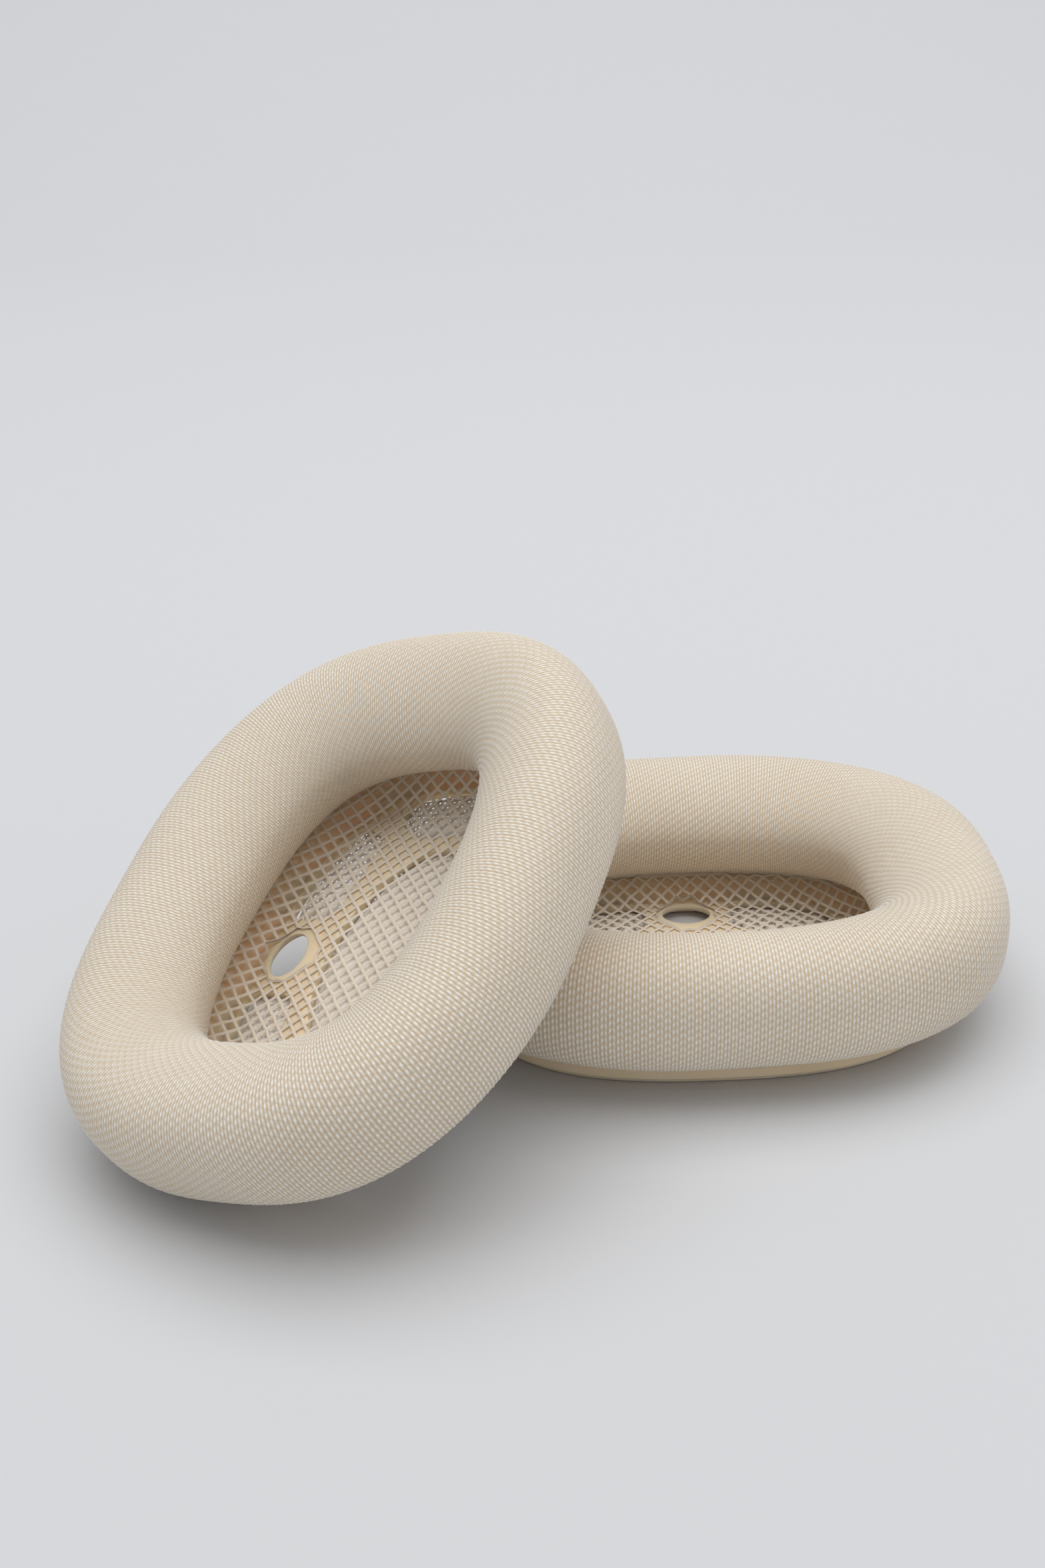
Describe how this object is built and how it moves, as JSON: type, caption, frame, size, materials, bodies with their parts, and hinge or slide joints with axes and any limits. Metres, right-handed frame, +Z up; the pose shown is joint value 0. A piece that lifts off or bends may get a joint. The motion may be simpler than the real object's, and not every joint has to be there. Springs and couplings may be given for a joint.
{
  "type": "pair of knitted oval ear cushions",
  "caption": "Pair of oval knitted ear cushions, one lying flat and one leaning on it, with net-covered windowed back frames and sensor holes.",
  "frame": {"origin": "bottom centre of the pair's box, on the surface the pair rests on", "axes": "+Z up, +X along the pair's longest side from the leaning cushion to the flat one, +Y towards the sensor holes"},
  "size_m": [0.1494, 0.1224, 0.0669],
  "materials": {
    "knit": "knitted, matt",
    "foam": "open foam",
    "tape": "matt",
    "frame": "satin moulded",
    "net": "open diamond net",
    "cloth": "fine woven",
    "magnet": "nickel plated"
  },
  "bodies": {
    "right_cushion": {"right_knit_cover": "knit", "right_foam_ring": "foam", "right_foam_tape": "tape", "right_carrier_frame": "frame", "right_mesh_screen": "net", "right_acoustic_cloth": "cloth", "right_magnet_1": "magnet", "right_magnet_2": "magnet", "right_magnet_3": "magnet", "right_magnet_4": "magnet", "right_magnet_5": "magnet", "right_magnet_6": "magnet", "right_magnet_7": "magnet", "right_magnet_8": "magnet"},
    "left_cushion": {"left_knit_cover": "knit", "left_foam_ring": "foam", "left_foam_tape": "tape", "left_carrier_frame": "frame", "left_mesh_screen": "net", "left_acoustic_cloth": "cloth", "left_magnet_1": "magnet", "left_magnet_2": "magnet", "left_magnet_3": "magnet", "left_magnet_4": "magnet", "left_magnet_5": "magnet", "left_magnet_6": "magnet", "left_magnet_7": "magnet", "left_magnet_8": "magnet"}
  },
  "joints": [
    {"name": "left_lift", "type": "slide", "parent": "right_cushion", "child": "left_cushion", "axis": [0, 0, 1], "range_m": [0, 0.12]}
  ]
}
